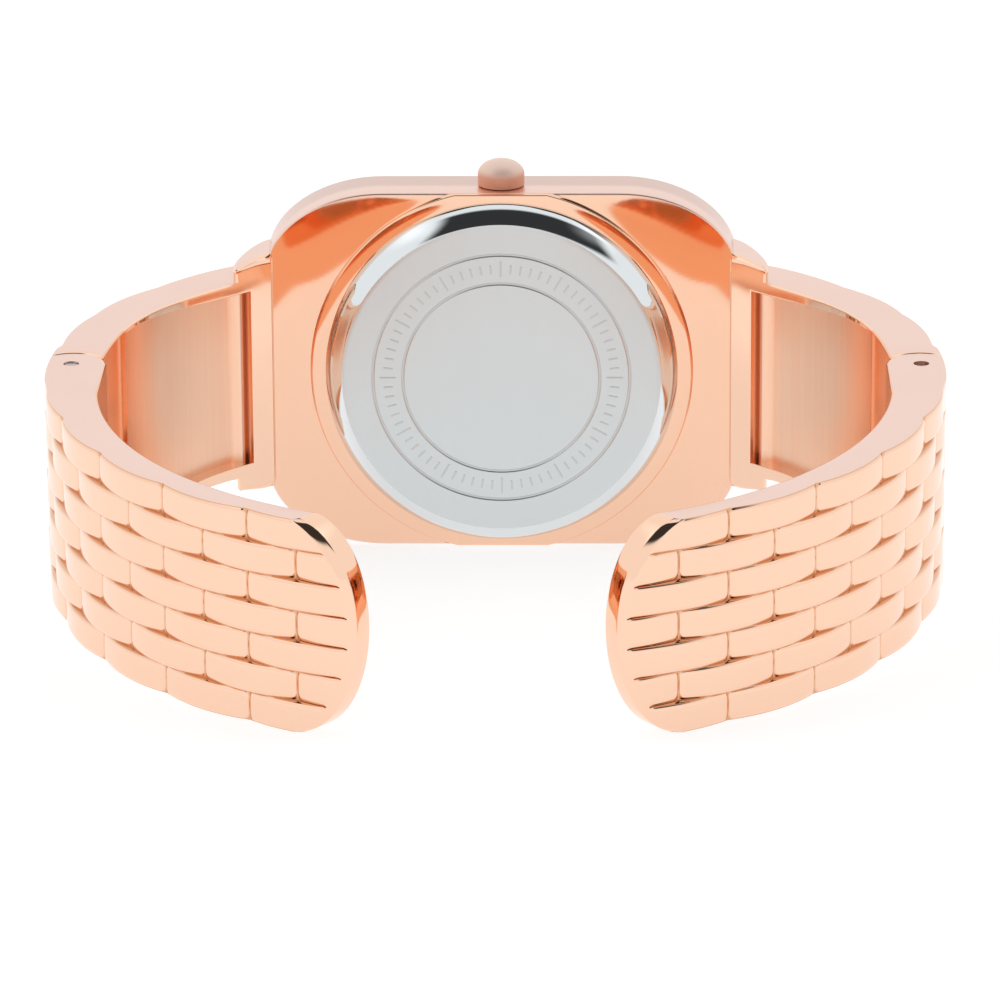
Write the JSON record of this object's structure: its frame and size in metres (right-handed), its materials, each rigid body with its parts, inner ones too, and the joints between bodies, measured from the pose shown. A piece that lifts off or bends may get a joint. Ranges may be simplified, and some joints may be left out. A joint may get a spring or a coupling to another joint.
{
  "type": "bangle watch",
  "caption": "Rose gold bangle watch: a cushion-shaped quartz head with fixed brick-relief arms and sprung cuff arms hinged to their ends, open at the back of the wrist.",
  "frame": {"origin": "centre of the bounding box's lower side, under the lower side of the case, on the plane that the case stands on", "axes": "+X across the wrist, from the left arm to the right one as seen from the cuff's opening; +Y from the cuff's opening to the dial, which faces +Y; +Z along the band's axis, from the case's plain side to its crown"},
  "size_m": [0.0646, 0.064, 0.0303],
  "materials": {
    "rose_gold": "rose gold plating, polished and satin",
    "rose_trim": "rose gold plating, polished",
    "steel": "fine brushed with polished edges",
    "brass": "satin",
    "crystal": "clear mineral glass",
    "seal": "smooth",
    "dial_paint": "sunburst satin lacquer",
    "holder_plastic": "moulded",
    "board": "solder mask",
    "copper_wire": "enamelled wire"
  },
  "bodies": {
    "watch_head": {"case_middle": "rose_gold", "bezel": "rose_gold", "crystal": "crystal", "crystal_gasket": "seal", "case_back": "steel", "case_back_gasket": "seal", "dial": "dial_paint", "dial_ring": "rose_trim", "hour_markers": "rose_trim", "movement_holder": "holder_plastic", "main_plate": "brass", "train_bridge": "steel", "circuit_board": "board", "quartz_resonator": "steel", "coil_core": "steel", "coil_winding": "copper_wire", "stator": "steel", "battery": "steel", "battery_strap": "steel", "movement_screws": "steel", "crown_tube": "steel", "left_fixed_arm": "rose_gold", "right_fixed_arm": "rose_gold", "left_hinge_spring": "steel", "right_hinge_spring": "steel"},
    "left_cuff": {"left_cuff_arm": "rose_gold", "left_hinge_pin": "steel"},
    "right_cuff": {"right_cuff_arm": "rose_gold", "right_hinge_pin": "steel"},
    "clutch": {"sliding_pinion": "steel"},
    "crown_unit": {"crown": "rose_gold", "crown_gasket": "seal", "setting_stem": "steel"},
    "lever": {"setting_lever": "steel"},
    "rotor_unit": {"rotor": "steel"},
    "intermediate_unit": {"intermediate_wheel": "brass"},
    "seconds_unit": {"seconds_wheel": "brass", "second_hand": "rose_trim"},
    "third_unit": {"third_wheel": "brass"},
    "minutes_unit": {"centre_wheel": "brass", "minute_hand": "rose_trim"},
    "motion_unit": {"minute_wheel": "brass"},
    "hours_unit": {"hour_wheel": "brass", "hour_hand": "rose_trim"}
  },
  "joints": [
    {"name": "left_cuff_hinge", "type": "hinge", "parent": "watch_head", "child": "left_cuff", "pos_m": [-0.0306, 0.0036, 0.0139], "axis": [0, 0, -1], "range_deg": [0, 35], "stiffness_Nm_per_rad": 0.06, "springref_deg": -34.38, "deforming": ["left_hinge_spring"]},
    {"name": "right_cuff_hinge", "type": "hinge", "parent": "watch_head", "child": "right_cuff", "pos_m": [0.0306, 0.0036, 0.0139], "axis": [0, 0, 1], "range_deg": [0, 35], "stiffness_Nm_per_rad": 0.06, "springref_deg": -34.38, "deforming": ["right_hinge_spring"]},
    {"name": "crown_spin", "type": "hinge", "parent": "watch_head", "child": "clutch", "pos_m": [0, 0.0277, 0.0199], "axis": [0, 0, 1], "continuous": true},
    {"name": "crown_pull", "type": "slide", "parent": "clutch", "child": "crown_unit", "axis": [0, 0, 1], "range_m": [0, 0.001]},
    {"name": "setting_lever_turn", "type": "hinge", "parent": "watch_head", "child": "lever", "pos_m": [0.0022, 0.0283, 0.0217], "axis": [0, 1, 0], "range_deg": [0, 25.8]},
    {"name": "second_hand_spin", "type": "hinge", "parent": "watch_head", "child": "seconds_unit", "pos_m": [0, 0.0283, 0.0139], "axis": [0, -1, 0], "continuous": true},
    {"name": "intermediate_spin", "type": "hinge", "parent": "watch_head", "child": "intermediate_unit", "pos_m": [0.0027, 0.0283, 0.01234], "axis": [0, -1, 0], "continuous": true},
    {"name": "rotor_spin", "type": "hinge", "parent": "watch_head", "child": "rotor_unit", "pos_m": [0.00375, 0.0283, 0.01052], "axis": [0, -1, 0], "continuous": true},
    {"name": "third_spin", "type": "hinge", "parent": "watch_head", "child": "third_unit", "pos_m": [-0.00234, 0.0283, 0.01587], "axis": [0, -1, 0], "continuous": true},
    {"name": "minute_hand_spin", "type": "hinge", "parent": "watch_head", "child": "minutes_unit", "pos_m": [0, 0.0283, 0.0139], "axis": [0, -1, 0], "continuous": true},
    {"name": "motion_spin", "type": "hinge", "parent": "watch_head", "child": "motion_unit", "pos_m": [-0.0012, 0.0283, 0.01182], "axis": [0, -1, 0], "continuous": true},
    {"name": "hour_hand_spin", "type": "hinge", "parent": "watch_head", "child": "hours_unit", "pos_m": [0, 0.0283, 0.0139], "axis": [0, -1, 0], "continuous": true}
  ],
  "couplings": [
    {"joint": "setting_lever_turn", "follows": "crown_pull", "rad_per_m": 447},
    {"joint": "intermediate_spin", "follows": "second_hand_spin", "ratio": -5},
    {"joint": "rotor_spin", "follows": "second_hand_spin", "ratio": 30},
    {"joint": "third_spin", "follows": "second_hand_spin", "ratio": -0.13333},
    {"joint": "minute_hand_spin", "follows": "second_hand_spin", "ratio": 0.016667},
    {"joint": "motion_spin", "follows": "second_hand_spin", "ratio": -0.0055556},
    {"joint": "hour_hand_spin", "follows": "second_hand_spin", "ratio": 0.0013889}
  ]
}
